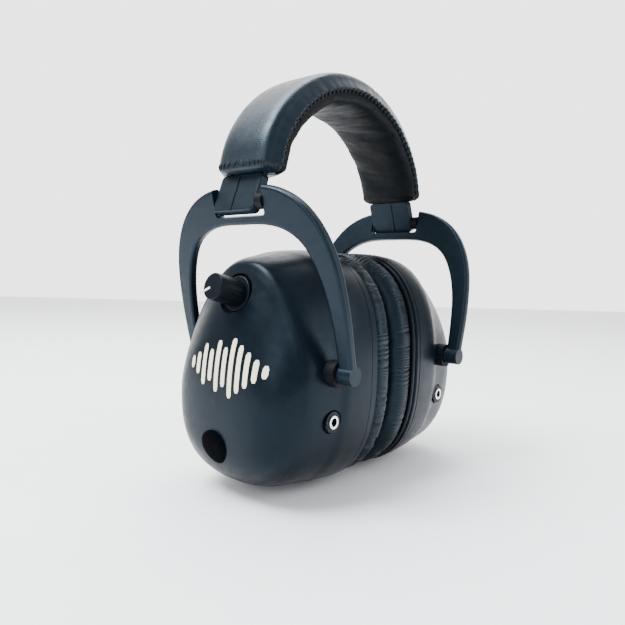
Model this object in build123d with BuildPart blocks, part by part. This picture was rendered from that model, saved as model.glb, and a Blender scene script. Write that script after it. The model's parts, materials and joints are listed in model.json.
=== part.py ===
"""Electronic earmuff hearing protector: padded headband, sliding band ends, yokes, cups and ear cushions.

X runs ear to ear (+X is the wearer's left), Y runs front (-Y) to back, and Z is up. Every side piece is
drawn for the left ear, with Z = 0 on the ear axis, then mirrored for the right ear and lifted by EAR_HEIGHT,
so that the finished model stands on the cup rims at Z = 0. All sizes are in millimetres.
"""

import os
from math import atan, cos, pi, radians, sin, tan

from build123d import *

os.makedirs("parts", exist_ok=True)

# Driving dimensions
EAR_HEIGHT = 53.0  # ear axis above the table, half the cup's height
CUP_HALF_WIDTH = 42.0  # cup rim, front to back
CUP_SQUARENESS = 2.6  # exponent of the cup's rounded outline
CUSHION_FACE_X = 1.5  # closed headband: the two cushions stand twice this apart
CUSHION_THICK = 13.0
PLATE_THICK = 2.4
RING_THICK = 3.0
WALL = 2.4

PIVOT = Vector(43.0, 0, 2.5)  # cup pivot axis, parallel to Y
YOKE_LEAN = 13.0  # degrees, outwards from the vertical
YOKE_THICK = 4.4
ARM_INSIDE_Y = 43.6
ARM_OUTSIDE_Y = 50.4
CROWN_BOTTOM = 61.2  # heights in the yoke's plane, from the pivot
CROWN_TOP = 77.5
NOTCH_WIDTH = 30.0
NOTCH_BOTTOM = 64.8
CROWN_HINGE = 70.6

SLIDE_LEAN = 20.0  # degrees, band end's direction of travel from the vertical
SLIDE_TRAVEL = 20.0
CLIP_WIDTH = 25.0
CLIP_OFFSET = 2.0  # the band end sits towards the back of the notch
CLIP_THICK = 4.2
SHANK_WIDTH = 20.0
SHANK_THICK = 2.8

BAND_LEAN = 14.0  # degrees, pad end from the vertical
PAD_THICK = 12.0
PAD_OUTER_WIDTH = 28.0
PAD_SEAM_WIDTH = 36.0
PAD_TOP = 135.5
PAD_SHOULDER = Vector(59.2, 0, 92.5)  # where the pad's outer line leaves its straight end
PAD_STRAIGHT = 8.0
COVER_SKIN = 1.2

JACK = Vector(42.4, -39.4, -17.7)
JACK_BORE_R = 1.8
KNOB = Vector(57.4, 0, 32.4)
KNOB_TILT = 14.0
MIC = Vector(67.6, 2.0, -31.0)
MIC_TILT = -22.0
MIC_R = 8.2

# Derived places
PLATE_X = CUSHION_FACE_X + CUSHION_THICK
RING_X = PLATE_X + PLATE_THICK
SHELL_X = RING_X + RING_THICK
HALF_HEIGHT = EAR_HEIGHT
YOKE_UP = Vector(sin(radians(YOKE_LEAN)), 0, cos(radians(YOKE_LEAN)))
HINGE = PIVOT + YOKE_UP * CROWN_HINGE
SLIDE_UP = Vector(-sin(radians(SLIDE_LEAN)), 0, cos(radians(SLIDE_LEAN)))
SLIDE_OUT = Vector(cos(radians(SLIDE_LEAN)), 0, sin(radians(SLIDE_LEAN)))
YOKE_PLANE = Plane(origin=PIVOT, x_dir=(0, 1, 0), z_dir=(cos(radians(YOKE_LEAN)), 0, -sin(radians(YOKE_LEAN))))
# Local x is +Y, local y runs up the slide and local z points away from the head.
SLIDE_PLANE = Plane(origin=HINGE, x_dir=(0, 1, 0), z_dir=SLIDE_OUT)


def side_plane(x):
    """A plane across the ear axis, with local x along +Y and local y along +Z."""
    return Plane(origin=(x, 0, 0), x_dir=(0, 1, 0), z_dir=(1, 0, 0))


def tilted_plane(point, tilt):
    """A plane at a point of the cup's outer face, its normal tilted up from +X by tilt degrees."""
    normal = (cos(radians(tilt)), 0, sin(radians(tilt)))
    return Plane(origin=point, x_dir=(0, 1, 0), z_dir=normal)


def across_plane(point):
    """A plane facing the front (-Y) at a point."""
    return Plane(origin=point, x_dir=(1, 0, 0), z_dir=(0, -1, 0))


def oval_points(half_width, top, bottom, narrow=0.0, count=16):
    """Points of a rounded outline; narrow pulls in the sides of its upper half."""
    middle = (top + bottom) / 2
    half_height = (top - bottom) / 2
    points = []
    for step in range(count):
        angle = 2 * pi * step / count
        c = cos(angle)
        s = sin(angle)
        rise = abs(s) ** (2 / CUP_SQUARENESS) * (1 if s >= 0 else -1)
        reach = abs(c) ** (2 / CUP_SQUARENESS) * (1 if c >= 0 else -1)
        pull = 1 - narrow * max(0.0, rise) ** 1.5
        points.append((half_width * pull * reach, middle + half_height * rise))
    return points


def oval(half_width, top, bottom=None, narrow=0.0):
    """A flat face with a rounded outline, to add to a sketch."""
    bottom = -top if bottom is None else bottom
    with BuildSketch() as face:
        with BuildLine():
            Spline(*oval_points(half_width, top, bottom, narrow), periodic=True)
        make_face()
    return face.sketch_local


def save(name, part):
    part = part.moved(Location((0, 0, EAR_HEIGHT)))
    part.label = name
    export_step(part, f"parts/{name}.step")


def save_pair(name, part):
    """Writes a left piece and its mirror image for the right."""
    save(f"{name}_left", part)
    save(f"{name}_right", mirror(part, about=Plane.YZ))


# Cup shell: sections of the cup from its rim to its outer face, as (x, half width, top, bottom, narrowing)
CUP_SECTIONS = [
    (SHELL_X, CUP_HALF_WIDTH, HALF_HEIGHT, -HALF_HEIGHT, 0.0),
    (30.0, 41.3, 52.2, -52.4, 0.02),
    (36.5, 40.4, 51.0, -51.2, 0.06),
    (44.0, 39.0, 49.2, -49.0, 0.25),
    (52.0, 37.2, 46.4, -45.6, 0.36),
    (59.5, 34.0, 38.0, -40.6, 0.33),
    (65.5, 29.3, 26.0, -34.6, 0.28),
    (69.6, 22.5, 13.0, -27.5, 0.2),
]


def cup_body(inset=0.0, first=0):
    """The cup's outer form, or the hollow inside it when inset is the wall."""
    with BuildPart() as body:
        for x, half_width, top, bottom, narrow in CUP_SECTIONS[first:]:
            with BuildSketch(side_plane(x - inset)):
                add(oval(half_width - inset, top - inset, bottom + inset, narrow))
        loft()
    return body.part


def knob_seat():
    """A solid plug of the cup's outer form round the volume knob, for the knob's recess to be cut in."""
    with BuildPart() as seat:
        with BuildSketch(tilted_plane(KNOB, KNOB_TILT).offset(-WALL)):
            Circle(KNOB_RECESS_R + 1.8)
        extrude(amount=16)
        add(cup_body(), mode=Mode.INTERSECT)
    return seat.part


KNOB_RECESS_R = 9.0
SCREW_SPOTS = [(28.0, 37.5), (-28.0, 37.5), (28.0, -37.5), (-28.0, -37.5)]
GROMMET_R = 5.6
GROMMET_INSIDE_Y = 33.0
BUSHING_R = 3.6
SHAFT_R = 3.0

with BuildPart() as cup_shell:
    add(cup_body())
    add(cup_body(inset=WALL), mode=Mode.SUBTRACT)
    with BuildSketch(side_plane(SHELL_X - WALL)):
        add(oval(CUP_HALF_WIDTH - WALL, HALF_HEIGHT - WALL))
    extrude(amount=WALL + 0.5, mode=Mode.SUBTRACT)
    add(knob_seat())
    with BuildSketch(side_plane(SHELL_X)):
        with Locations(*SCREW_SPOTS):
            Circle(3.2)
    extrude(amount=3.6)
    with BuildSketch(side_plane(SHELL_X)):
        with Locations(*SCREW_SPOTS):
            Circle(1.3)
    extrude(amount=3.6, mode=Mode.SUBTRACT)
    # openings for the pivots, socket, knob and microphone
    with BuildSketch(across_plane((PIVOT.X, 60, PIVOT.Z))):
        Circle(GROMMET_R + 0.05)
    extrude(amount=120, mode=Mode.SUBTRACT)
    with BuildSketch(across_plane((JACK.X, JACK.Y - 6, JACK.Z))):
        Circle(4.45)
    extrude(amount=-16, mode=Mode.SUBTRACT)
    with BuildSketch(tilted_plane(KNOB, KNOB_TILT)):
        Circle(KNOB_RECESS_R)
    extrude(amount=16, mode=Mode.SUBTRACT)
    with BuildSketch(tilted_plane(KNOB, KNOB_TILT)):
        Circle(BUSHING_R + 0.05)
    extrude(amount=-12, mode=Mode.SUBTRACT)
    with BuildSketch(tilted_plane(MIC, MIC_TILT).offset(-1.2)):
        Circle(MIC_R + 0.15)
    extrude(amount=12, mode=Mode.SUBTRACT)
    with BuildSketch(tilted_plane(MIC, MIC_TILT)):
        Circle(3.0)
    extrude(amount=-8, mode=Mode.SUBTRACT)
save_pair("cup_shell", cup_shell.part)

# Rim ring that closes the shell, with counterbores for its four screws
with BuildPart() as rim_ring:
    with BuildSketch(side_plane(RING_X)):
        add(oval(CUP_HALF_WIDTH, HALF_HEIGHT))
        add(oval(33.0, 44.0), mode=Mode.SUBTRACT)
    extrude(amount=RING_THICK)
    chamfer(rim_ring.edges().filter_by(GeomType.BSPLINE).group_by(SortBy.LENGTH)[-1], 0.5)
    with BuildSketch(side_plane(RING_X)):
        with Locations(*SCREW_SPOTS):
            Circle(2.5)
    extrude(amount=1.6, mode=Mode.SUBTRACT)
    with BuildSketch(side_plane(RING_X)):
        with Locations(*SCREW_SPOTS):
            Circle(1.3)
    extrude(amount=RING_THICK, mode=Mode.SUBTRACT)
save_pair("rim_ring", rim_ring.part)

with BuildPart() as rim_screws:
    with BuildSketch(side_plane(RING_X + 0.2)):
        with Locations(*SCREW_SPOTS):
            Circle(2.3)
    extrude(amount=1.4)
    with BuildSketch(side_plane(RING_X + 1.6)):
        with Locations(*SCREW_SPOTS):
            Circle(1.25)
    extrude(amount=4.6)
save_pair("rim_screws", rim_screws.part)

# Cushion plate, which the ear cushion snaps on to
with BuildPart() as cushion_plate:
    with BuildSketch(side_plane(PLATE_X)):
        add(oval(CUP_HALF_WIDTH - 0.7, HALF_HEIGHT - 0.7))
        add(oval(22.0, 32.0), mode=Mode.SUBTRACT)
    extrude(amount=PLATE_THICK)
    chamfer(cushion_plate.edges().filter_by(GeomType.BSPLINE).group_by(SortBy.LENGTH)[-1], 0.5)
save_pair("cushion_plate", cushion_plate.part)

with BuildPart() as ear_cushion:
    with BuildSketch(side_plane(CUSHION_FACE_X)):
        add(oval(CUP_HALF_WIDTH - 1.2, HALF_HEIGHT - 1.2))
        add(oval(21.0, 31.0), mode=Mode.SUBTRACT)
    extrude(amount=CUSHION_THICK)
    fillet(ear_cushion.edges().filter_by(GeomType.BSPLINE).group_by(Axis.X)[0], 5.0)
save_pair("ear_cushion", ear_cushion.part)

# Inside the cup: foam liner, baffle, speaker, circuit board, battery and its tray
with BuildPart() as foam_liner:
    with BuildSketch(side_plane(SHELL_X + 0.6)):
        add(oval(32.0, 43.0))
    extrude(amount=3.0)
save_pair("foam_liner", foam_liner.part)

BAFFLE_X = SHELL_X + 3.8
with BuildPart() as speaker_baffle:
    with BuildSketch(side_plane(BAFFLE_X)):
        add(oval(37.4, 48.2))
        with GridLocations(7, 7, 3, 3):
            Circle(1.6, mode=Mode.SUBTRACT)
    extrude(amount=1.8)
save_pair("speaker_baffle", speaker_baffle.part)

SPEAKER_X = BAFFLE_X + 1.8
with BuildPart() as speaker:
    with BuildSketch(side_plane(SPEAKER_X)):
        Circle(18.0)
        Circle(14.5, mode=Mode.SUBTRACT)
    extrude(amount=2.2)
    with BuildSketch(side_plane(SPEAKER_X + 2.2)):
        Circle(18.0)
    extrude(amount=1.5, taper=30)
    with BuildSketch(side_plane(SPEAKER_X + 3.7)):
        Circle(9.0)
    extrude(amount=3.3)
save_pair("speaker", speaker.part)

BOARD_X = SPEAKER_X + 8.2
with BuildPart() as circuit_board:
    with BuildSketch(side_plane(BOARD_X)):
        RectangleRounded(46, 62, 8)
    extrude(amount=1.6)
save_pair("circuit_board", circuit_board.part)

with BuildPart() as board_chips:
    with BuildSketch(side_plane(BOARD_X + 1.6)):
        with Locations((-10, 8), (8, 12)):
            Rectangle(9, 7)
        with Locations((12, -8), (-4, -6)):
            Circle(2.5)
    extrude(amount=2.5)
save_pair("board_chips", board_chips.part)

BATTERY = Vector(46.0, 0, -28.5)
with BuildPart() as battery:
    with BuildSketch(across_plane((BATTERY.X, 14.2, BATTERY.Z))):
        Circle(6.0)
    extrude(amount=28.4)
    with BuildSketch(across_plane((BATTERY.X, -14.2, BATTERY.Z))):
        Circle(2.0)
    extrude(amount=1.0)
save_pair("battery", battery.part)

with BuildPart() as battery_tray:
    with BuildSketch(across_plane((BATTERY.X, 18.0, BATTERY.Z))):
        with Locations((0, -3.9)):
            Rectangle(15.0, 8.6)
        Circle(6.1, mode=Mode.SUBTRACT)
        with Locations((0, 3)):
            Rectangle(12.2, 6, mode=Mode.SUBTRACT)
    extrude(amount=36.0)
    with BuildSketch(across_plane((BATTERY.X, 18.0, BATTERY.Z))):
        with Locations((0, -3.9)):
            Rectangle(15.0, 8.6)
    extrude(amount=2.0)
    with BuildSketch(across_plane((BATTERY.X, -16.0, BATTERY.Z))):
        with Locations((0, -3.9)):
            Rectangle(15.0, 8.6)
    extrude(amount=2.0)
save_pair("battery_tray", battery_tray.part)

# Volume control: the bushed potentiometer stays in the cup; the shaft and the knob turn
KNOB_PLANE = tilted_plane(KNOB, KNOB_TILT)
with BuildPart() as potentiometer:
    with BuildSketch(KNOB_PLANE.offset(-11.2)):
        RectangleRounded(13, 13, 1.5)
    extrude(amount=7.0)
    with BuildSketch(KNOB_PLANE.offset(-4.2)):
        Circle(BUSHING_R)
    extrude(amount=5.0)
    with BuildSketch(KNOB_PLANE.offset(-7.2)):
        Circle(SHAFT_R + 0.05)
    extrude(amount=9.0, mode=Mode.SUBTRACT)
save_pair("potentiometer", potentiometer.part)

with BuildPart() as control_shaft:
    with BuildSketch(KNOB_PLANE.offset(-7.0)):
        Circle(SHAFT_R)
    extrude(amount=16.5)
    chamfer(control_shaft.edges().filter_by(GeomType.CIRCLE).group_by(Axis.X)[-1], 0.4)
save_pair("control_shaft", control_shaft.part)

KNOB_R = 6.0
KNOB_SKIRT_R = 7.8
KNOB_TOP = 16.6
FLUTES = 18
POINTER_TURN = -25.0  # at rest the pointer faces back and a little down
POINTER_MIDDLE = (3.3 * cos(radians(POINTER_TURN)), 3.3 * sin(radians(POINTER_TURN)))
with BuildPart() as volume_knob:
    with BuildSketch(KNOB_PLANE.offset(1.2)):
        Circle(KNOB_SKIRT_R)
    extrude(amount=2.4)
    fillet(volume_knob.edges().filter_by(GeomType.CIRCLE).group_by(Axis.X)[-1], 0.6)
    with BuildSketch(KNOB_PLANE.offset(3.6)):
        Circle(KNOB_R)
    extrude(amount=KNOB_TOP - 3.6, taper=1.5)
    fillet(volume_knob.faces().sort_by(Axis((0, 0, 0), KNOB_PLANE.z_dir))[-1].edges(), 0.5)
    with BuildSketch(KNOB_PLANE.offset(4.2)):
        with PolarLocations(KNOB_R + 0.25, FLUTES):
            Circle(0.55)
    extrude(amount=KNOB_TOP, mode=Mode.SUBTRACT)
    with BuildSketch(KNOB_PLANE.offset(1.2)):
        Circle(BUSHING_R + 0.4)
    extrude(amount=2.0, mode=Mode.SUBTRACT)
    with BuildSketch(KNOB_PLANE.offset(1.2)):
        Circle(SHAFT_R)
    extrude(amount=8.4, mode=Mode.SUBTRACT)
    with BuildSketch(KNOB_PLANE.offset(KNOB_TOP - 0.5)):
        with Locations(POINTER_MIDDLE):
            Rectangle(3.6, 0.9, rotation=POINTER_TURN)
    extrude(amount=2.0, mode=Mode.SUBTRACT)
save_pair("volume_knob", volume_knob.part)

with BuildPart() as knob_pointer:
    with BuildSketch(KNOB_PLANE.offset(KNOB_TOP - 0.5)):
        with Locations(POINTER_MIDDLE):
            Rectangle(3.4, 0.9, rotation=POINTER_TURN)
    extrude(amount=0.55)
save_pair("knob_pointer", knob_pointer.part)

# Microphone: capsule behind the shell and a foam windscreen in front of it
MIC_PLANE = tilted_plane(MIC, MIC_TILT)
with BuildPart() as mic_windscreen:
    with BuildSketch(MIC_PLANE.offset(-1.2)):
        Circle(MIC_R)
    extrude(amount=4.4)
    fillet(mic_windscreen.edges().filter_by(GeomType.CIRCLE).group_by(Axis.X)[-1], 2.2)
save_pair("mic_windscreen", mic_windscreen.part)

with BuildPart() as mic_capsule:
    with BuildSketch(MIC_PLANE.offset(-6.6)):
        Circle(2.9)
    extrude(amount=5.2)
save_pair("mic_capsule", mic_capsule.part)

# Audio socket: a black body and a plated ring around the bore for the plug
with BuildPart() as jack_body:
    with BuildSketch(across_plane(JACK)):
        Circle(4.4)
    extrude(amount=-13.0)
    with BuildSketch(across_plane(JACK)):
        Circle(2.7)
    extrude(amount=-1.5, mode=Mode.SUBTRACT)
    with BuildSketch(across_plane(JACK)):
        Circle(JACK_BORE_R)
    extrude(amount=-12.0, mode=Mode.SUBTRACT)
save_pair("jack_body", jack_body.part)

with BuildPart() as jack_ring:
    with BuildSketch(across_plane((JACK.X, JACK.Y - 0.5, JACK.Z))):
        Circle(2.7)
        Circle(JACK_BORE_R, mode=Mode.SUBTRACT)
    extrude(amount=-2.0)
save_pair("jack_ring", jack_ring.part)

# Pivots: rubber grommets in the cup, and steel pins fixed in the yoke's arms
PIN_R = 1.5
FRONT_BACK = (1, -1)


def along_y(sketch_radius, start, end, hole=0.0, point=PIVOT):
    """A round piece along Y from start to end, on both sides of the cup."""
    with BuildPart() as pieces:
        for side in FRONT_BACK:
            with BuildSketch(Plane(origin=(point.X, side * start, point.Z), x_dir=(1, 0, 0), z_dir=(0, side, 0))):
                Circle(sketch_radius)
                if hole:
                    Circle(hole, mode=Mode.SUBTRACT)
            extrude(amount=end - start)
    return pieces.part


save_pair("pivot_grommets", along_y(GROMMET_R, GROMMET_INSIDE_Y, ARM_INSIDE_Y - 0.3, hole=PIN_R + 0.05))

# Yoke: a flat arch that leans outwards, with an eye at each arm and a notch in its crown
ARM_OUTER = [(50.4, 0), (50.7, 18), (50.2, 32), (47.8, 47), (42.5, 59.5), (33, 70), (18, 76.4), (0, CROWN_TOP)]
ARM_INNER = [(43.6, 0), (43.4, 14), (42.3, 28), (38.4, 43), (31.4, 53.9), (20, 59.8), (0, CROWN_BOTTOM)]
EYE_R = 3.9
PIN_END_Y = ARM_OUTSIDE_Y - 1.4


def mirrored(points):
    """A half outline from the front arm to the crown, and back down the rear arm."""
    return points + [(-x, y) for x, y in reversed(points[:-1])]


with BuildPart() as yoke:
    with BuildSketch(YOKE_PLANE.offset(-YOKE_THICK / 2)):
        with BuildLine():
            outer = Spline(*mirrored(ARM_OUTER), tangents=[(0, 1), (0, -1)])
            inner = Spline(*mirrored(ARM_INNER), tangents=[(0, 1), (0, -1)])
            Line(outer @ 0, inner @ 0)
            Line(outer @ 1, inner @ 1)
        make_face()
    extrude(amount=YOKE_THICK)
    fillet(yoke.edges().filter_by(GeomType.BSPLINE), 1.4)
    for side in FRONT_BACK:
        eye_plane = Plane(origin=(PIVOT.X, side * ARM_INSIDE_Y, PIVOT.Z), x_dir=(1, 0, 0), z_dir=(0, side, 0))
        with BuildSketch(eye_plane):
            Circle(EYE_R)
        extrude(amount=ARM_OUTSIDE_Y - ARM_INSIDE_Y)
    with BuildSketch(YOKE_PLANE.offset(-YOKE_THICK)):
        with Locations((0, NOTCH_BOTTOM + 10)):
            RectangleRounded(NOTCH_WIDTH, 20, 1.5)
    extrude(amount=2 * YOKE_THICK, mode=Mode.SUBTRACT)
    for side in FRONT_BACK:
        with BuildSketch(Plane(origin=(PIVOT.X, side * 40, PIVOT.Z), x_dir=(1, 0, 0), z_dir=(0, side, 0))):
            Circle(PIN_R)
        extrude(amount=PIN_END_Y - 40, mode=Mode.SUBTRACT)
    with BuildSketch(Plane(origin=(HINGE.X, -NOTCH_WIDTH, HINGE.Z), x_dir=(1, 0, 0), z_dir=(0, 1, 0))):
        Circle(PIN_R)
    extrude(amount=2 * NOTCH_WIDTH, mode=Mode.SUBTRACT)
save_pair("yoke", yoke.part)
save_pair("pivot_pins", along_y(PIN_R, GROMMET_INSIDE_Y - 2, PIN_END_Y))

CROWN_PIN_LENGTH = NOTCH_WIDTH + 10
with BuildPart() as crown_pin:
    with BuildSketch(Plane(origin=(HINGE.X, -CROWN_PIN_LENGTH / 2, HINGE.Z), x_dir=(1, 0, 0), z_dir=(0, 1, 0))):
        Circle(PIN_R)
    extrude(amount=CROWN_PIN_LENGTH)
save_pair("crown_pin", crown_pin.part)

SPACER_LENGTH = NOTCH_WIDTH / 2 - (CLIP_WIDTH / 2 - CLIP_OFFSET) - 0.6
with BuildPart() as crown_spacer:
    with BuildSketch(Plane(origin=(HINGE.X, -NOTCH_WIDTH / 2 + 0.1, HINGE.Z), x_dir=(-1, 0, 0), z_dir=(0, 1, 0))):
        Circle(3.4)
        Circle(PIN_R, mode=Mode.SUBTRACT)
    extrude(amount=SPACER_LENGTH)
save_pair("crown_spacer", crown_spacer.part)

# Band end: a plate that hangs in the yoke's notch, and a shank that slides in the headband
CLIP_TOP = 12.4
CLIP_BOTTOM = -4.6
SHANK_TOP = 36.0
with BuildPart() as band_end:
    with BuildSketch(SLIDE_PLANE.offset(-CLIP_THICK / 2)):
        with Locations((CLIP_OFFSET, (CLIP_TOP + CLIP_BOTTOM) / 2)):
            RectangleRounded(CLIP_WIDTH, CLIP_TOP - CLIP_BOTTOM, 2.0)
    extrude(amount=CLIP_THICK)
    fillet(band_end.faces().sort_by(Axis((0, 0, 0), SLIDE_PLANE.z_dir))[-1].edges(), 0.8)
    with BuildSketch(SLIDE_PLANE.offset(-SHANK_THICK / 2)):
        with Locations((0, (SHANK_TOP + CLIP_TOP) / 2 - 1)):
            Rectangle(SHANK_WIDTH, SHANK_TOP - CLIP_TOP + 2)
    extrude(amount=SHANK_THICK)
    # a fine moulded line on each broad face
    with BuildSketch(SLIDE_PLANE.offset(CLIP_THICK / 2 - 0.35)):
        with Locations((2.5, (CLIP_TOP + CLIP_BOTTOM) / 2)):
            Rectangle(0.7, CLIP_TOP - CLIP_BOTTOM)
    extrude(amount=1, mode=Mode.SUBTRACT)
    with BuildSketch(SLIDE_PLANE.offset(-CLIP_THICK / 2 - 0.65)):
        with Locations((0, (CLIP_TOP + CLIP_BOTTOM) / 2)):
            Rectangle(0.7, CLIP_TOP - CLIP_BOTTOM)
    extrude(amount=1, mode=Mode.SUBTRACT)
    with BuildSketch(Plane(origin=(HINGE.X, -NOTCH_WIDTH, HINGE.Z), x_dir=(1, 0, 0), z_dir=(0, 1, 0))):
        Circle(PIN_R + 0.05)
    extrude(amount=2 * NOTCH_WIDTH, mode=Mode.SUBTRACT)
save_pair("band_end", band_end.part)

# Guide at each end of the spring, in which the shank slides
GUIDE_BOTTOM = 15.0
GUIDE_TOP = 29.0
GUIDE_THICK = 5.6
GUIDE_WIDTH = 24.0
SPRING_THICK = 1.0
SPRING_WIDTH = 18.0
SPRING_OFFSET = GUIDE_THICK / 2 + SPRING_THICK / 2
RIVET_R = 1.2
RIVET_HEIGHT = 22.0
with BuildPart() as band_guide:
    with BuildSketch(SLIDE_PLANE.offset(-GUIDE_THICK / 2)):
        with Locations((0, (GUIDE_TOP + GUIDE_BOTTOM) / 2)):
            Rectangle(GUIDE_WIDTH, GUIDE_TOP - GUIDE_BOTTOM)
    extrude(amount=GUIDE_THICK)
    with BuildSketch(SLIDE_PLANE.offset(-SHANK_THICK / 2 - 0.2)):
        with Locations((0, (GUIDE_TOP + GUIDE_BOTTOM) / 2)):
            Rectangle(SHANK_WIDTH + 0.4, GUIDE_TOP)
    extrude(amount=SHANK_THICK + 0.4, mode=Mode.SUBTRACT)
    with BuildSketch(SLIDE_PLANE):
        with Locations((-5, RIVET_HEIGHT), (5, RIVET_HEIGHT)):
            Circle(RIVET_R)
    extrude(amount=GUIDE_THICK, mode=Mode.SUBTRACT)
save_pair("band_guide", band_guide.part)

with BuildPart() as guide_rivets:
    with BuildSketch(SLIDE_PLANE.offset(SHANK_THICK / 2 + 0.3)):
        with Locations((-5, RIVET_HEIGHT), (5, RIVET_HEIGHT)):
            Circle(RIVET_R)
    extrude(amount=SPRING_OFFSET + SPRING_THICK / 2 - SHANK_THICK / 2 - 0.3)
    with BuildSketch(SLIDE_PLANE.offset(SPRING_OFFSET + SPRING_THICK / 2)):
        with Locations((-5, RIVET_HEIGHT), (5, RIVET_HEIGHT)):
            Circle(2.0)
    extrude(amount=0.5)
save_pair("guide_rivets", guide_rivets.part)


def arch_half(shoulder, lean, shoulder_r, top, straight):
    """The left half of an arch: a leaning straight, a shoulder arc and a flatter arc to the top."""
    normal = Vector(cos(radians(lean)), 0, sin(radians(lean)))
    down = Vector(sin(radians(lean)), 0, -cos(radians(lean)))
    centre = shoulder - normal * shoulder_r
    turn = 2 * atan((top - centre.Z - shoulder_r) / centre.X)
    meet = centre + Vector(sin(turn), 0, cos(turn)) * shoulder_r
    end = shoulder + down * straight
    along = down * -1
    start = Line(end, shoulder)
    shoulder_arc = TangentArc(shoulder, meet, tangent=along)
    top_arc = TangentArc(meet, (0, 0, top), tangent=shoulder_arc % 1)
    return start, shoulder_arc, top_arc


def arch_path(shoulder, lean, shoulder_r, top, straight):
    """The whole arch, from the left end over the top to the right end."""
    with BuildLine() as path:
        arch_half(shoulder, lean, shoulder_r, top, straight)
        mirror(about=Plane.YZ)
    return path.wire()


def end_plane(wire, toward_head=1):
    """A plane across the arch at its left end, with local x along +Y and local y towards the head."""
    start = max((wire @ 0, wire @ 1), key=lambda point: point.X)
    along = wire % 0 if (wire @ 0).X > 0 else (wire % 1) * -1
    return Plane(origin=start, x_dir=(0, toward_head, 0), z_dir=along)


BAND_OUT = Vector(cos(radians(BAND_LEAN)), 0, sin(radians(BAND_LEAN)))
PAD_MIDLINE = arch_path(
    PAD_SHOULDER - BAND_OUT * (PAD_THICK / 2), BAND_LEAN, 39.0, PAD_TOP - PAD_THICK / 2, PAD_STRAIGHT
)
SPRING_LINE = arch_path(
    HINGE + SLIDE_UP * 30 + SLIDE_OUT * SPRING_OFFSET, SLIDE_LEAN, 36.0, PAD_TOP - 5.4, 15.0
)
SEAM_DROP = 1.5


def pad_outline(inset):
    """The pad's cross-section: flat outside, sides flared down to the seams, and a crowned inside."""
    half = PAD_THICK / 2 - inset
    outer = PAD_OUTER_WIDTH / 2 - inset
    seam = PAD_SEAM_WIDTH / 2 - inset
    with BuildSketch() as face:
        with BuildLine():
            Polyline((-seam, SEAM_DROP), (-outer, -half), (outer, -half), (seam, SEAM_DROP))
            ThreePointArc((seam, SEAM_DROP), (0, half), (-seam, SEAM_DROP))
        make_face()
        fillet(face.vertices().group_by(Axis.Y)[0], 2.0)
    return face.sketch_local


def swept(outline, path):
    """A flat outline carried along the arch from its left end."""
    with BuildPart() as solid:
        with BuildSketch(end_plane(path)):
            add(outline)
        sweep(path=path)
    return solid.part


def mirrored_pair(plane_offset, low, high, width, thick):
    """A block round the slide, at both ends of the headband."""
    with BuildPart() as blocks:
        with BuildSketch(SLIDE_PLANE.offset(plane_offset)):
            with Locations((0, (low + high) / 2)):
                Rectangle(width, high - low)
        extrude(amount=thick)
        mirror(about=Plane.YZ)
    return blocks.part


with BuildPart() as headband_spring:
    with BuildSketch(end_plane(SPRING_LINE)):
        Rectangle(SPRING_WIDTH, SPRING_THICK)
    sweep(path=SPRING_LINE)
    with BuildPart(mode=Mode.PRIVATE) as rivet_holes:
        with BuildSketch(SLIDE_PLANE):
            with Locations((-5, RIVET_HEIGHT), (5, RIVET_HEIGHT)):
                Circle(RIVET_R)
        extrude(amount=2 * GUIDE_THICK)
        mirror(about=Plane.YZ)
    add(rivet_holes.part, mode=Mode.SUBTRACT)
save("headband_spring", headband_spring.part)

pad_form = swept(pad_outline(0), PAD_MIDLINE)
pad_hollow = swept(pad_outline(COVER_SKIN), PAD_MIDLINE)
shank_room = mirrored_pair(-SHANK_THICK / 2 - 0.4, 0, SHANK_TOP + 3, SHANK_WIDTH + 1.2, SHANK_THICK + 0.8)
guide_room = mirrored_pair(-GUIDE_THICK / 2 - 0.1, GUIDE_BOTTOM - 4, GUIDE_TOP + 0.3, GUIDE_WIDTH + 0.4, GUIDE_THICK + 2.0)
spring_room = swept(Sketch() + Rectangle(SPRING_WIDTH + 0.2, SPRING_THICK + 0.2), SPRING_LINE)

# Cover: a sleeve round the foam, closed at both ends but for the slot that the band end slides in
with BuildPart() as headband_cover:
    add(pad_form)
    add(pad_hollow, mode=Mode.SUBTRACT)
    with BuildSketch(end_plane(PAD_MIDLINE)):
        add(pad_outline(COVER_SKIN / 2))
    extrude(amount=COVER_SKIN)
    mirror(about=Plane.YZ)
    add(shank_room, mode=Mode.SUBTRACT)
    add(guide_room, mode=Mode.SUBTRACT)
save("headband_cover", headband_cover.part)

with BuildPart() as headband_foam:
    add(pad_hollow)
    add(headband_cover.part, mode=Mode.SUBTRACT)
    add(shank_room, mode=Mode.SUBTRACT)
    add(guide_room, mode=Mode.SUBTRACT)
    add(spring_room, mode=Mode.SUBTRACT)
save("headband_foam", headband_foam.part)
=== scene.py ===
import json
import math

import bmesh
import bpy
from mathutils import Matrix, Vector, noise
from mathutils.bvhtree import BVHTree


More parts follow.
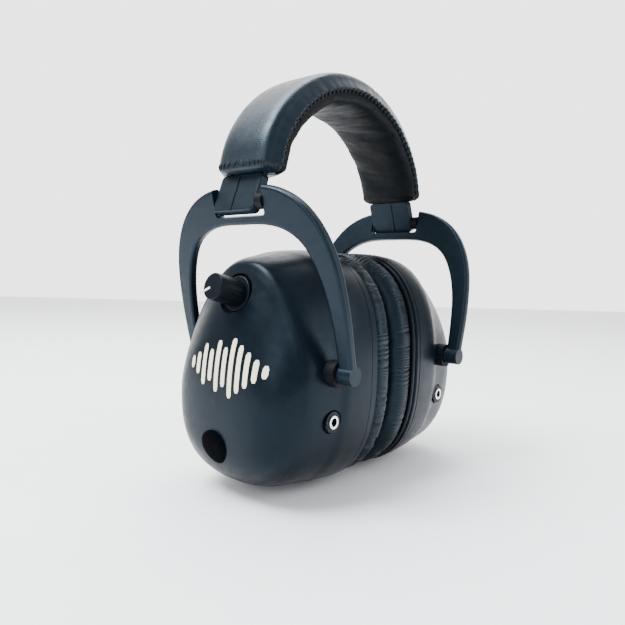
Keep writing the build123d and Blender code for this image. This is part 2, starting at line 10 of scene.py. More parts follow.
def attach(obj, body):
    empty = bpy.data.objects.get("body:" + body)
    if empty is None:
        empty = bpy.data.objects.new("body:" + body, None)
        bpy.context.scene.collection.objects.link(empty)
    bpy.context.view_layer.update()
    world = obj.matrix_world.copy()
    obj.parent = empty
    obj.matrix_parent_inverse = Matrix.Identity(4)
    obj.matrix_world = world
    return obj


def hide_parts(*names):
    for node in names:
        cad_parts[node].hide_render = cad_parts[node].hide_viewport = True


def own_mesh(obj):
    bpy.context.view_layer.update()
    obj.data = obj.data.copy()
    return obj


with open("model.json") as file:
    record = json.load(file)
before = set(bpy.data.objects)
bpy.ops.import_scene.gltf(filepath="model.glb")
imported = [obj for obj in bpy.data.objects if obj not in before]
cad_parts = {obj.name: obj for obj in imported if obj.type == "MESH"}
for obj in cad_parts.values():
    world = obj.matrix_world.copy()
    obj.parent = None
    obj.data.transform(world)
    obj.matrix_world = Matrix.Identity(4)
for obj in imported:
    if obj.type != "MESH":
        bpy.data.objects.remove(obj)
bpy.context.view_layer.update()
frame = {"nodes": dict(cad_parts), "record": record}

# Places on the left side in millimetres, with z = 0 on the ear axis; the right side is their mirror image
MM = 0.001
EAR_HEIGHT = 53.0
SIDES = {"left": 1, "right": -1}  # each side's m, the sign of its x
JACK = (42.4, -39.4, -17.7)
JACK_SEAT_R = 5.0
JACK_SEAT_DEPTH = 14.0
JACK_SEAT_INSET = 3.0  # the cutter starts this far inside the socket's mouth
KNOB = (57.4, 0.0, 32.4)
KNOB_TILT = math.radians(14.0)
KNOB_RECESS_R = 9.0
KNOB_RECESS_DEPTH = 22.0
MIC = (67.6, 2.0, -31.0)
MIC_TILT = math.radians(-22.0)
MIC_FOAM_R = 8.1


# ---------------------------------------------------------------- materials
def material(name, base, rough, metal=0.0, vary=0.12, rough_vary=0.06, bump=0.0, bump_scale=900.0,
             pattern="noise", specular=0.5, blotch=60.0, tint=(1.0, 1.0, 1.0)):
    """A procedural finish: colour and roughness drift slowly over the piece, with a fine surface relief."""
    finish = bpy.data.materials.new(name)
    finish.use_nodes = True
    nodes = finish.node_tree.nodes
    links = finish.node_tree.links
    bsdf = nodes["Principled BSDF"]
    bsdf.inputs["Metallic"].default_value = metal
    bsdf.inputs["Specular IOR Level"].default_value = specular
    bsdf.inputs["Specular Tint"].default_value = (*tint, 1)
    coord = nodes.new("ShaderNodeTexCoord")
    drift = nodes.new("ShaderNodeTexNoise")
    drift.inputs["Scale"].default_value = blotch
    drift.inputs["Detail"].default_value = 5.0
    links.new(coord.outputs["Object"], drift.inputs["Vector"])
    ramp = nodes.new("ShaderNodeValToRGB")
    ramp.color_ramp.elements[0].position = 0.3
    ramp.color_ramp.elements[1].position = 0.7
    low = [c * (1 - vary) for c in base]
    high = [min(1.0, c * (1 + vary)) for c in base]
    ramp.color_ramp.elements[0].color = (*low, 1)
    ramp.color_ramp.elements[1].color = (*high, 1)
    links.new(drift.outputs["Fac"], ramp.inputs["Fac"])
    links.new(ramp.outputs["Color"], bsdf.inputs["Base Color"])
    spread = nodes.new("ShaderNodeMapRange")
    spread.inputs["From Min"].default_value = 0.3
    spread.inputs["From Max"].default_value = 0.7
    spread.inputs["To Min"].default_value = max(0.02, rough - rough_vary)
    spread.inputs["To Max"].default_value = min(1.0, rough + rough_vary)
    fine = nodes.new("ShaderNodeTexNoise")
    fine.inputs["Scale"].default_value = blotch * 5
    fine.inputs["Detail"].default_value = 3.0
    links.new(coord.outputs["Object"], fine.inputs["Vector"])
    links.new(fine.outputs["Fac"], spread.inputs["Value"])
    links.new(spread.outputs["Result"], bsdf.inputs["Roughness"])
    if bump:
        if pattern == "grain":
            relief = nodes.new("ShaderNodeTexVoronoi")
            relief.feature = "DISTANCE_TO_EDGE"
            out = relief.outputs["Distance"]
        else:
            relief = nodes.new("ShaderNodeTexNoise")
            relief.inputs["Detail"].default_value = 4.0
            out = relief.outputs["Fac"]
        relief.inputs["Scale"].default_value = bump_scale
        links.new(coord.outputs["Object"], relief.inputs["Vector"])
        lift = nodes.new("ShaderNodeBump")
        lift.inputs["Strength"].default_value = bump
        lift.inputs["Distance"].default_value = 0.0002
        links.new(out, lift.inputs["Height"])
        links.new(lift.outputs["Normal"], bsdf.inputs["Normal"])
    return finish


# dark plastic and leather reflect a slightly blue highlight
BLUE_SHEEN = (0.58, 0.80, 1.0)
MATS = {
    "shell_plastic": material("shell_plastic", (0.0020, 0.0040, 0.0066), 0.34,
        bump=0.03, bump_scale=1500, vary=0.10, tint=BLUE_SHEEN, specular=0.14),
    "yoke_plastic": material("yoke_plastic", (0.0034, 0.0068, 0.0105), 0.38,
        bump=0.03, bump_scale=1500, vary=0.10, tint=BLUE_SHEEN, specular=0.20),
    "black_plastic": material("black_plastic", (0.0014, 0.0020, 0.0032), 0.42,
        bump=0.05, bump_scale=1200, vary=0.12, tint=BLUE_SHEEN, specular=0.16),
    "black_rubber": material("black_rubber", (0.0012, 0.0018, 0.0028), 0.60,
        bump=0.20, bump_scale=900, vary=0.15, specular=0.12),
    "cushion_vinyl": material("cushion_vinyl", (0.0026, 0.0050, 0.0074), 0.42,
        bump=0.25, bump_scale=1100, vary=0.18, tint=BLUE_SHEEN, specular=0.20, pattern="grain"),
    "band_leather": material("band_leather", (0.0034, 0.0066, 0.0100), 0.36,
        bump=0.35, bump_scale=900, vary=0.15, tint=BLUE_SHEEN, specular=0.30, pattern="grain"),
    "open_foam": material("open_foam", (0.010, 0.010, 0.012), 0.95,
        bump=0.90, bump_scale=1500, vary=0.20, specular=0.10),
    "mic_foam": material("mic_foam", (0.0006, 0.0010, 0.0018), 0.95,
        bump=0.80, bump_scale=1800, vary=0.30, specular=0.03),
    "screw_steel": material("screw_steel", (0.45, 0.46, 0.48), 0.32,
        metal=1.0, bump=0.1, bump_scale=2500),
    "spring_steel": material("spring_steel", (0.30, 0.31, 0.34), 0.35,
        metal=1.0, bump=0.1, bump_scale=2500),
    "socket_metal": material("socket_metal", (0.80, 0.80, 0.80), 0.16,
        metal=1.0, bump=0.05, bump_scale=2500),
    "speaker_grey": material("speaker_grey", (0.12, 0.12, 0.13), 0.6, bump=0.2),
    "board_green": material("board_green", (0.02, 0.10, 0.045), 0.45, bump=0.2),
    "chip_black": material("chip_black", (0.012, 0.012, 0.012), 0.5, bump=0.2),
    "battery_jacket": material("battery_jacket", (0.10, 0.10, 0.11), 0.35, bump=0.1),
    "white_mark": material("white_mark", (0.80, 0.80, 0.78), 0.5, bump=0.1, vary=0.04),
    "emblem_gold": material("emblem_gold", (0.86, 0.80, 0.60), 0.45,
        bump=0.15, bump_scale=1500, vary=0.06),
    "stitch_thread": material("stitch_thread", (0.0026, 0.0044, 0.0064), 0.60,
        bump=0.30, bump_scale=3000, vary=0.20, specular=0.20),
    "liner_leather": material("liner_leather", (0.0008, 0.0018, 0.0026), 0.50,
        bump=0.35, bump_scale=1000, vary=0.20, specular=0.10, pattern="grain"),
}

for entry in frame["record"]["subparts"]:
    node = frame["nodes"][entry["node"]]
    node.data.materials.clear()
    node.data.materials.append(MATS[entry["material_slot"]])


# ---------------------------------------------------------------- geometry helpers
def new_piece(name, verts, faces, body, mats, face_mats=None, sharp=None):
    """A smooth-shaded mesh in millimetres above the ear axis, riding on a body."""
    mesh = bpy.data.meshes.new(name)
    mesh.from_pydata([(x * MM, y * MM, (z + EAR_HEIGHT) * MM) for x, y, z in verts], [], faces)
    for finish in mats:
        mesh.materials.append(finish)
    mesh.validate()
    if face_mats:
        for polygon, index in zip(mesh.polygons, face_mats):
            polygon.material_index = index
    obj = bpy.data.objects.new(name, mesh)
    bpy.context.scene.collection.objects.link(obj)
    tidy_normals(obj, sharp)
    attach(obj, body)
    return obj


def tidy_normals(obj, sharp=None):
    """Outward normals, smooth faces, and sharp edges where faces meet at more than the given angle."""
    bm = bmesh.new()
    bm.from_mesh(obj.data)
    bmesh.ops.remove_doubles(bm, verts=bm.verts, dist=1e-6)
    bmesh.ops.recalc_face_normals(bm, faces=bm.faces)
    for face in bm.faces:
        face.smooth = True
    for edge in bm.edges:
        creased = sharp and len(edge.link_faces) == 2 and edge.calc_face_angle(0) > math.radians(sharp)
        edge.smooth = not creased
    bm.to_mesh(obj.data)
    bm.free()


def grid_faces(rows, columns, wrap_rows=False):
    """Quads of a grid of vertices stored row by row, each row a closed loop."""
    faces = []
    for i in range(rows if wrap_rows else rows - 1):
        for j in range(columns):
            a = i * columns + j
            b = i * columns + (j + 1) % columns
            c = ((i + 1) % rows) * columns + (j + 1) % columns
            d = ((i + 1) % rows) * columns + j
            faces.append((a, b, c, d))
    return faces


def spline(points, t):
    """A Catmull-Rom curve through tuples of numbers, at t from 0 to 1."""
    span = t * (len(points) - 1)
    i = min(int(span), len(points) - 2)
    f = span - i
    p0 = points[max(0, i - 1)]
    p1 = points[i]
    p2 = points[i + 1]
    p3 = points[min(len(points) - 1, i + 2)]
    return tuple(
        0.5 * (2 * b + (c - a) * f + (2 * a - 5 * b + 4 * c - d) * f * f + (3 * b - a - 3 * c + d) * f ** 3)
        for a, b, c, d in zip(p0, p1, p2, p3)
    )


def oval_radius(angle, half_width, half_height, power=2.6):
    """Distance from the middle of a rounded outline to its edge, in the direction of angle."""
    c = abs(math.cos(angle)) / max(half_width, 1e-6)
    s = abs(math.sin(angle)) / max(half_height, 1e-6)
    return 1.0 / (c ** power + s ** power) ** (1 / power)


def wave(x, y=0.0, z=0.0):
    """Smooth noise from -1 to 1."""
    return noise.noise(Vector((x, y, z)))


# ---------------------------------------------------------------- cup shells
# from the rim to the outer face: (x, half width, top, bottom, narrowing of the upper half)
CUP_SECTIONS = [
    (19.9, 42.0, 53.0, -53.0, 0.0),
    (24.0, 41.9, 53.0, -52.8, 0.0),
    (30.0, 41.6, 52.6, -52.2, 0.0),
    (34.5, 41.2, 52.0, -51.8, 0.03),
    (38.5, 40.2, 51.2, -51.3, 0.15),
    (44.0, 39.4, 50.2, -50.8, 0.24),
    (51.0, 38.4, 48.8, -50.0, 0.34),
    (55.4, 37.4, 46.9, -48.8, 0.39),
    (57.4, 36.5, 43.2, -48.0, 0.38),
    (59.2, 35.4, 38.6, -47.2, 0.37),
    (62.5, 33.2, 30.2, -44.9, 0.33),
    (66.0, 29.8, 21.0, -41.2, 0.28),
    (69.2, 23.8, 11.4, -34.2, 0.2),
    (70.9, 13.6, 0.6, -22.6, 0.1),
    (71.4, 0.4, -10.6, -11.2, 0.0),
]


def cup_point(t, angle):
    """A point on the left cup's outer surface: t runs from the rim to the middle of the outer face."""
    x, half_width, top, bottom, narrow = spline(CUP_SECTIONS, t)
    half_height = max((top - bottom) / 2, 0.05)
    reach = oval_radius(angle, max(half_width, 0.05), half_height)
    y = reach * math.cos(angle)
    z = reach * math.sin(angle)
    rise = max(0.0, z / half_height)
    return x, y * (1 - narrow * rise ** 1.5), (top + bottom) / 2 + z


CUTTER_SEGMENTS = 96


def cutter(name, place, radius, length):
    """A cylinder for cutting, standing on the origin of place."""
    mesh = bpy.data.meshes.new(name)
    bm = bmesh.new()
    lifted = place @ Matrix.Translation((0, 0, length * MM / 2))
    bmesh.ops.create_cone(bm, cap_ends=True, segments=CUTTER_SEGMENTS, radius1=radius * MM,
                          radius2=radius * MM, depth=length * MM, matrix=lifted)
    bm.to_mesh(mesh)
    bm.free()
    obj = bpy.data.objects.new(name, mesh)
    bpy.context.scene.collection.objects.link(obj)
    return obj


def placed(point, direction):
    """A matrix at a point in ear millimetres, with local Z along direction."""
    turn = Vector(direction).to_track_quat("Z", "Y").to_matrix().to_4x4()
    return Matrix.Translation((point[0] * MM, point[1] * MM, (point[2] + EAR_HEIGHT) * MM)) @ turn


def cut(obj, tools):
    """Cuts each tool out of obj and keeps the result as its mesh."""
    for tool in tools:
        step = obj.modifiers.new("cut", "BOOLEAN")
        step.operation = "DIFFERENCE"
        step.solver = "EXACT"
        step.object = tool
    bpy.context.view_layer.update()
    result = bpy.data.meshes.new_from_object(obj.evaluated_get(bpy.context.evaluated_depsgraph_get()))
    obj.modifiers.clear()
    obj.data = result
    for tool in tools:
        bpy.data.objects.remove(tool)


RINGS = 84
ROUND = 176
CUP_APEX = (71.42, -10.9)  # x and z of the outer face's middle
SHELL_CREASE = 38  # degrees
shell_trees = {}  # each side's uncut outer face, which the printed bars follow


def cup_shell(side, m):
    """The cup's hard case, with the knob's recess and the socket's seat cut into it."""
    verts = []
    for i in range(RINGS):
        for j in range(ROUND):
            x, y, z = cup_point(i / (RINGS - 1), 2 * math.pi * j / ROUND)
            verts.append((m * x, y, z))
    faces = grid_faces(RINGS, ROUND)
    verts.append((m * CUP_SECTIONS[0][0], 0, 0))
    verts.append((m * CUP_APEX[0], 0, CUP_APEX[1]))
    back = len(verts) - 2
    apex = len(verts) - 1
    last = (RINGS - 1) * ROUND
    for j in range(ROUND):
        faces.append((back, (j + 1) % ROUND, j))
        faces.append((apex, last + j, last + (j + 1) % ROUND))
    obj = new_piece(f"cup_{side}_outer_shell", verts, faces, f"cup_{side}",
                    [MATS["shell_plastic"]])
    knob_way = (m * math.cos(KNOB_TILT), 0, math.sin(KNOB_TILT))
    knob_place = placed((m * KNOB[0], KNOB[1], KNOB[2]), knob_way)
    jack_place = placed((m * JACK[0], JACK[1] + JACK_SEAT_INSET, JACK[2]), (0, -1, 0))
    tools = [
        cutter("recess", knob_place, KNOB_RECESS_R, KNOB_RECESS_DEPTH),
        cutter("socket", jack_place, JACK_SEAT_R, JACK_SEAT_DEPTH),
    ]
    bm = bmesh.new()
    bm.from_mesh(obj.data)
    shell_trees[side] = BVHTree.FromBMesh(bm)
    bm.free()
    cut(obj, tools)
    tidy_normals(obj, SHELL_CREASE)
    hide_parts(f"cup_shell_{side}")


# ---------------------------------------------------------------- ear cushions
# once round the cushion's section: (x, share of the way from inner to outer oval, offset outward)
CUSHION_PROFILE = [
    (14.45, 1.0, -2.2), (13.6, 1.0, -1.0), (11.8, 1.0, 0.15), (9.2, 1.0, 0.6), (6.4, 1.0, 0.35),
    (4.0, 1.0, -1.1), (2.5, 1.0, -3.4), (1.7, 1.0, -6.6), (1.5, 0.5, 0.0), (1.7, 0.0, 5.2),
    (2.7, 0.0, 2.4), (5.0, 0.0, 0.6), (9.0, 0.0, 0.0), (12.5, 0.0, 0.6), (14.45, 0.0, 1.4),
]
CUSHION_OUTSIDE = (40.6, 51.6)  # half width and half height of the outer oval
CUSHION_OPENING = (21.5, 31.5)
CUSHION_MEAN_R = 47.0
CUSHION_BACK_X = 9.0  # nearer the head than this, the vinyl is loose


def ear_cushion(side, m, seed):
    """A gathered vinyl ring: close pleats on its outer wall and a soft, faintly wrinkled face."""
    columns = 720
    rows = 46
    verts = []
    for i in range(rows):
        x, outer_share, offset = spline(CUSHION_PROFILE, i / (rows - 1))
        wall = max(0.0, min(1.0, (x - 2.2) / 4.0)) * max(0.0, min(1.0, (outer_share - 0.6) / 0.4))
        for j in range(columns):
            angle = 2 * math.pi * j / columns
            outside = oval_radius(angle, *CUSHION_OUTSIDE)
            inside = oval_radius(angle, *CUSHION_OPENING)
            radius = inside + (outside - inside) * outer_share + offset
            around = angle * CUSHION_MEAN_R
            crowd = 1.9 + 0.35 * wave(around * 0.05, seed)
            phase = around * crowd + 2.6 * wave(around * 0.16, seed, 3.0)
            phase += 0.5 * wave(around * 0.5, x * 0.25, seed)
            fold = abs(math.sin(phase)) ** 0.7 - 0.55
            depth = 0.75 + 0.45 * wave(around * 0.11, seed + 5.0)
            seam = max(0.0, min(1.0, (14.3 - x) / 1.6))
            radius += wall * fold * depth * (0.35 + 0.65 * seam)
            soft = 1 - wall
            lift = soft * 0.45 * wave(around * 0.12, radius * 0.16, seed + 9.0)
            face_pleat = soft * 0.22 * fold * max(0.0, (radius - (outside - 12)) / 12)
            wrinkle = lift + face_pleat if x < CUSHION_BACK_X else 0.0
            verts.append((m * (x + wrinkle), radius * math.cos(angle), radius * math.sin(angle)))
    faces = grid_faces(rows, columns, wrap_rows=True)
    obj = new_piece(f"cup_{side}_ear_cushion", verts, faces, f"cup_{side}",
                    [MATS["cushion_vinyl"]])
    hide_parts(f"ear_cushion_{side}")
    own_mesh(obj)


# ---------------------------------------------------------------- headband pad
PAD_THICK = 12.0
PAD_TOP = 135.5
BAND_LEAN = math.radians(14.0)
SHOULDER_R = 39.0
STRAIGHT = 8.0
OUT = Vector((math.cos(BAND_LEAN), 0, math.sin(BAND_LEAN)))
SHOULDER = Vector((59.2, 0, 92.5)) - OUT * (PAD_THICK / 2)
CENTRE = SHOULDER - OUT * SHOULDER_R
TOP = PAD_TOP - PAD_THICK / 2
TURN = 2 * math.atan((TOP - CENTRE.z - SHOULDER_R) / CENTRE.x)
TOP_R = (CENTRE.x + SHOULDER_R * math.sin(TURN)) / math.sin(TURN)
ARC_TOP = TOP_R * TURN
ARC_SHOULDER = SHOULDER_R * (math.pi / 2 - BAND_LEAN - TURN)
HALF_LENGTH = ARC_TOP + ARC_SHOULDER + STRAIGHT


def arch(s):
    """Point on the pad's midline and its outward normal, s millimetres of arc from the top."""
    side = 1 if s >= 0 else -1
    s = abs(s)
    if s <= ARC_TOP:
        angle = s / TOP_R
        point = Vector((TOP_R * math.sin(angle), 0, TOP - TOP_R + TOP_R * math.cos(angle)))
    elif s <= ARC_TOP + ARC_SHOULDER:
        angle = TURN + (s - ARC_TOP) / SHOULDER_R
        point = CENTRE + Vector((math.sin(angle), 0, math.cos(angle))) * SHOULDER_R
    else:
        angle = math.pi / 2 - BAND_LEAN
        point = SHOULDER + Vector((OUT.z, 0, -OUT.x)) * (s - ARC_TOP - ARC_SHOULDER)
    normal = Vector((math.sin(angle), 0, math.cos(angle)))
    return Vector((side * point.x, 0, point.z)), Vector((side * normal.x, 0, normal.z))


# half of the section, from the middle of the outer face round to the middle of the liner: (across, outward)
PAD_SECTION = [
    (0.0, 6.3), (6.0, 6.25), (10.5, 6.0), (13.2, 5.3), (14.6, 4.0), (15.6, 2.0), (16.8, 0.0), (17.6, -1.4),
    (17.7, -2.2), (16.9, -2.5), (16.6, -3.2), (16.9, -4.2), (15.6, -5.9), (12.0, -7.2), (6.5, -7.9),
    (0.0, -8.1),
]


def pad_surface(s, t, half):
    """A point of the pad: t runs from the outer face, 0, to the liner, 1.

    half is +1 to the back and -1 to the front.
    """
    across, outward = spline(PAD_SECTION, t)
    end = max(0.0, (abs(s) - (HALF_LENGTH - 3.0)) / 3.0)
    plump = 1.0 - 0.16 * (abs(s) / HALF_LENGTH) ** 2
    liner = max(0.0, min(1.0, (t - 0.62) / 0.14))
    side = max(0.0, 1 - abs(t - 0.42) / 0.2)
    lean = s + 0.35 * half * across
    puff = 1.5 * abs(math.sin(lean * 0.105 + 1.5 * wave(s * 0.05, half * 2.0))) ** 0.5 - 0.9
    fold = 0.8 * wave(lean * 0.11, across * 0.06 * half, 7.0)
    fold += 0.22 * wave(lean * 0.33, across * 0.14 * half, 2.0)
    outward -= liner * (1.4 + fold + 0.5 * puff) * (1 - end)
    across += side * 0.35 * wave(s * 0.25, half * 3.0, 5.0) - liner * 0.5 * puff * min(1.0, across / 12)
    outward += (1 - liner) * 0.12 * wave(s * 0.12, across * 0.12 * half, 11.0)
    outward -= (1 - liner) * 0.45 * math.exp(-((s - 14.0) / 0.9) ** 2) * min(1.0, (1 - t) * 3)
    shrink = 1 - 0.16 * end ** 2
    outward = outward * plump if outward < 0 else outward
    point, normal = arch(s)
    return point + normal * (outward * shrink) + Vector((0, half * across * shrink, 0))


LINER_START = 0.62  # share of the way round the section where the liner leather begins


def headband_pad():
    """The padded sleeve over the spring: smooth outer leather and a gathered liner, closed at both ends."""
    steps = 300
    around = 40
    verts = []
    face_mats = []
    for i in range(steps + 1):
        s = -HALF_LENGTH + 2 * HALF_LENGTH * i / steps
        for half, order in ((1, range(around)), (-1, range(around, 0, -1))):
            for k in order:
                verts.append(tuple(pad_surface(s, k / around, half)))
    columns = 2 * around
    faces = grid_faces(steps + 1, columns)
    for i in range(steps):
        for j in range(columns):
            t = min(j + 0.5, columns - j - 0.5) / around
            face_mats.append(1 if t > LINER_START else 0)
    for row in (0, steps):
        point, _ = arch(-HALF_LENGTH if row == 0 else HALF_LENGTH)
        verts.append(tuple(point))
        middle = len(verts) - 1
        for j in range(columns):
            faces.append((middle, row * columns + j, row * columns + (j + 1) % columns))
            face_mats.append(0)
    obj = new_piece("headband_pad", verts, faces, "headband",
                    [MATS["band_leather"], MATS["liner_leather"]], face_mats, sharp=60)
    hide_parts("headband_cover")


THREAD_SIDES = 8
STITCH_PITCH = 3.1
STITCH_SLANT = 1.1
SEAM_STITCH_R = 0.4
END_STITCH_R = 0.45


def thread(verts, faces, a, b, radius):
    """Adds one stitch, a short round-ended bar from a to b."""
    way = (b - a).normalized()
    turn = way.to_track_quat("Z", "Y")
    base = len(verts)
    length = (b - a).length
    rings = [(0.0, 0.35), (0.15, 0.85), (0.35, 1.0), (0.65, 1.0), (0.85, 0.85), (1.0, 0.35)]
    for along, share in rings:
        for k in range(THREAD_SIDES):
            angle = 2 * math.pi * k / THREAD_SIDES
            reach = radius * share
            offset = turn @ Vector((math.cos(angle) * reach, math.sin(angle) * reach, length * along))
            verts.append(tuple(a + offset))
    for i in range(len(rings) - 1):
        near = base + i * THREAD_SIDES
        far = near + THREAD_SIDES
        for k in range(THREAD_SIDES):
            following = (k + 1) % THREAD_SIDES
            faces.append((near + k, near + following, far + following, far + k))
    faces.append(tuple(base + k for k in range(THREAD_SIDES - 1, -1, -1)))
    faces.append(tuple(base + (len(rings) - 1) * THREAD_SIDES + k for k in range(THREAD_SIDES)))


def seam_stitches():
    """Crossed stitches over the seams between outer leather and liner, and a row at each end of the pad."""
    verts = []
    faces = []
    count = int(2 * (HALF_LENGTH - 3) / STITCH_PITCH)
    for half in (1, -1):
        for i in range(count + 1):
            s = -(HALF_LENGTH - 3) + STITCH_PITCH * i
            for t_start, t_end in ((0.46, 0.66), (0.66, 0.46)):
                a = pad_surface(s, t_start, half)
                b = pad_surface(s + STITCH_SLANT, t_end, half)
                _, normal = arch(s)
                lift = Vector((0, half * 0.35, 0)) - normal * 0.1
                thread(verts, faces, a + lift, b + lift, SEAM_STITCH_R)
    for end in (1, -1):
        for half in (1, -1):
            for k in range(11):
                t = 0.02 + 0.043 * k
                a = pad_surface(end * (HALF_LENGTH - 3.4), t, half)
                b = pad_surface(end * (HALF_LENGTH - 0.9), min(t + 0.022, 1.0), half)
                _, normal = arch(end * HALF_LENGTH)
                thread(verts, faces, a + normal * 0.15, b + normal * 0.15, END_STITCH_R)
    new_piece("headband_stitching", verts, faces, "headband", [MATS["stitch_thread"]])


# ---------------------------------------------------------------- small details
BAR_HEIGHTS = [5, 9, 14, 19, 24, 16, 21, 13, 17, 9, 5]
BAR_WIDTH = 2.3
BAR_PITCH = 4.1
BARS_MIDDLE = (-4.0, 3.5)  # y and z
BAR_ROW = 1.2
BAR_SURFACES = (0.10, -0.15)  # the bar's front and back, outward from the shell


def draped_bar(verts, faces, side, m, y_mid, z_low, z_high, width):
    """Adds a thin printed bar that follows the cup's outer face."""
    columns = 7
    rows = max(4, int((z_high - z_low) / BAR_ROW))
    base = len(verts)
    for lift in BAR_SURFACES:
        for i in range(rows + 1):
            v = i / rows
            z = z_low + (z_high - z_low) * v
            pinch = min(1.0, (min(v, 1 - v) * (z_high - z_low) / (width * 0.5)) + 0.25)
            for j in range(columns):
                y = y_mid + (j / (columns - 1) - 0.5) * width * min(1.0, pinch ** 0.5)
                start = Vector((m * 0.2, y * MM, (z + EAR_HEIGHT) * MM))
                hit = shell_trees[side].ray_cast(start, Vector((-m, 0, 0)))
                x = hit[0].x / MM + m * lift
                verts.append((x, y, z))
    layer = (rows + 1) * columns
    for i in range(rows):
        for j in range(columns - 1):
            a = base + i * columns + j
            faces.append((a, a + 1, a + 1 + columns, a + columns))
            faces.append((a + layer, a + layer + columns, a + layer + 1 + columns, a + layer + 1))
    rim = [base + j for j in range(columns)]
    rim += [base + i * columns + columns - 1 for i in range(1, rows + 1)]
    rim += [base + rows * columns + j for j in range(columns - 2, -1, -1)]
    rim += [base + i * columns for i in range(rows - 1, 0, -1)]
    for a, b in zip(rim, rim[1:] + rim[:1]):
        faces.append((a, a + layer, b + layer, b))


def emblem(side, m):
    """A plain printed row of level bars on the cup's outer face."""
    verts = []
    faces = []
    y_middle, z_middle = BARS_MIDDLE
    for index, height in enumerate(BAR_HEIGHTS):
        y = y_middle + (index - (len(BAR_HEIGHTS) - 1) / 2) * BAR_PITCH
        draped_bar(verts, faces, side, m, y, z_middle - height / 2, z_middle + height / 2, BAR_WIDTH)
    new_piece(f"cup_{side}_printed_bars", verts, faces, f"cup_{side}",
              [MATS["emblem_gold"]], sharp=50)


def windscreen(side, m):
    """A foam dome over the microphone."""
    verts = []
    rows = 26
    columns = 96
    turn = Vector((m * math.cos(MIC_TILT), 0, math.sin(MIC_TILT))).to_track_quat("Z", "Y")
    for i in range(rows):
        t = i / (rows - 1)
        if t < 0.25:
            radius = MIC_FOAM_R
            height = -1.2 + 2.4 * t / 0.25
        else:
            bend = (t - 0.25) / 0.75 * math.pi / 2
            radius = MIC_FOAM_R * math.cos(bend) ** 0.55 if t < 1 else 0.02
            height = 1.2 + 2.2 * math.sin(bend) ** 0.9
        for j in range(columns):
            angle = 2 * math.pi * j / columns
            p = Vector((radius * math.cos(angle), radius * math.sin(angle), height))
            rough = 0.16 * wave(p.x * 1.7, p.y * 1.7, p.z * 1.7 + 4) + 0.1 * wave(p.x * 4, p.y * 4, p.z * 4)
            p *= 1 + rough / max(p.length, 1.0)
            p = turn @ p
            verts.append((p.x + m * MIC[0], p.y + MIC[1], p.z + MIC[2]))
    faces = grid_faces(rows, columns)
    faces.append(tuple(range(columns - 1, -1, -1)))
    faces.append(tuple((rows - 1) * columns + j for j in range(columns)))
    obj = new_piece(f"cup_{side}_mic_foam", verts, faces, f"cup_{side}", [MATS["mic_foam"]])
    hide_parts(f"mic_windscreen_{side}")


for index, (side_name, mirror_sign) in enumerate(SIDES.items()):
    cup_shell(side_name, mirror_sign)
    ear_cushion(side_name, mirror_sign, 10.0 + 7.0 * index)
    windscreen(side_name, mirror_sign)
    emblem(side_name, mirror_sign)
headband_pad()
seam_stitches()

# ---------------------------------------------------------------- floor, light and camera
bpy.ops.mesh.primitive_plane_add(size=6, location=(0, 0, -0.0005))
floor = bpy.context.object
floor.name = "floor"
floor_mat = material("floor_white", (0.93, 0.93, 0.94), 0.9, vary=0.01, rough_vary=0.02, specular=0.1)
floor.data.materials.append(floor_mat)

world = bpy.data.worlds.new("studio")
bpy.context.scene.world = world
world.use_nodes = True
world.node_tree.nodes["Background"].inputs["Color"].default_value = (0.93, 0.96, 1.0, 1)
world.node_tree.nodes["Background"].inputs["Strength"].default_value = 0.8


def softbox(name, location, target, size, power, colour):
    """A rectangular area light aimed at a point."""
    data = bpy.data.lights.new(name, "AREA")
    data.shape = "RECTANGLE"
    data.size = size[0]
    data.size_y = size[1]
    data.energy = power
    data.color = colour
    light = bpy.data.objects.new(name, data)
    bpy.context.scene.collection.objects.link(light)
    light.location = location
    light.rotation_euler = (Vector(target) - Vector(location)).to_track_quat("-Z", "Y").to_euler()


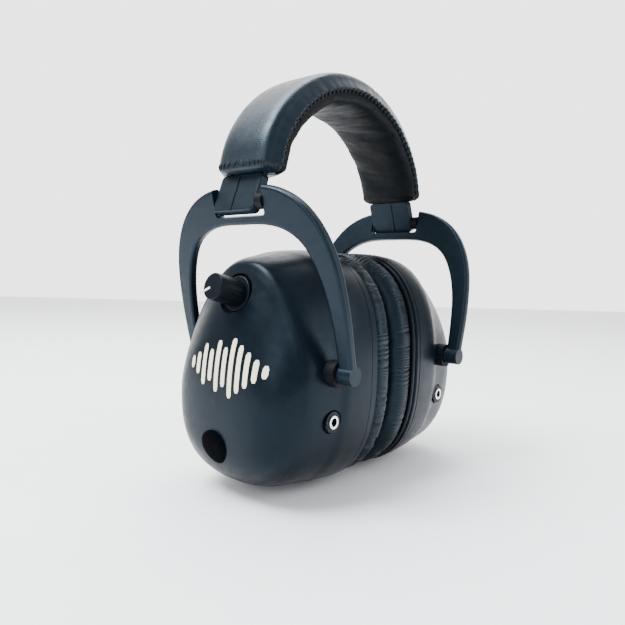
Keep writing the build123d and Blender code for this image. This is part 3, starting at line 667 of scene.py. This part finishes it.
MIDDLE = (0, 0, 0.09)
softbox("key", (-0.48, 0.30, 0.98), MIDDLE, (0.5, 0.5), 24.0, (0.93, 0.97, 1.0))
softbox("left", (-1.1, -0.35, 0.55), MIDDLE, (0.5, 0.5), 5.0, (0.93, 0.97, 1.0))
softbox("front", (0.45, -0.9, 0.45), MIDDLE, (0.3, 0.9), 7.0, (0.94, 0.97, 1.0))
softbox("top", (0.1, 0.25, 1.0), MIDDLE, (0.8, 0.5), 14.0, (0.95, 0.98, 1.0))

# a bright wall behind the object, as in a light tent
wall_mat = bpy.data.materials.new("backdrop_glow")
wall_mat.use_nodes = True
glow = wall_mat.node_tree.nodes.new("ShaderNodeEmission")
glow.inputs["Color"].default_value = (1.0, 1.0, 1.0, 1)
glow.inputs["Strength"].default_value = 3.2
wall_out = wall_mat.node_tree.nodes["Material Output"]
wall_mat.node_tree.links.new(glow.outputs["Emission"], wall_out.inputs["Surface"])
bpy.ops.mesh.primitive_plane_add(size=4.0, location=(1.15, 0.98, 0.6))
wall = bpy.context.object
wall.name = "backdrop"
wall.rotation_euler = (math.radians(90), 0, math.radians(-49.5))
wall.data.materials.append(wall_mat)

CAMERA = Vector((-0.230, -0.1895, 0.096))
TARGET = Vector((-0.0115, 0.0, 0.0765))
ROLL = math.radians(1.4)
camera_data = bpy.data.cameras.new("camera")
camera_data.sensor_width = 36
camera_data.lens = 34.56
camera_data.clip_start = 0.01
camera = bpy.data.objects.new("camera", camera_data)
bpy.context.scene.collection.objects.link(camera)
forward = (TARGET - CAMERA).normalized()
right = forward.cross(Vector((0, 0, 1))).normalized()
up = right.cross(forward)
right_rolled = right * math.cos(ROLL) + up * math.sin(ROLL)
up_rolled = right_rolled.cross(forward)
camera.matrix_world = Matrix((
    (right_rolled.x, up_rolled.x, -forward.x, CAMERA.x),
    (right_rolled.y, up_rolled.y, -forward.y, CAMERA.y),
    (right_rolled.z, up_rolled.z, -forward.z, CAMERA.z),
    (0, 0, 0, 1),
))
bpy.context.scene.camera = camera
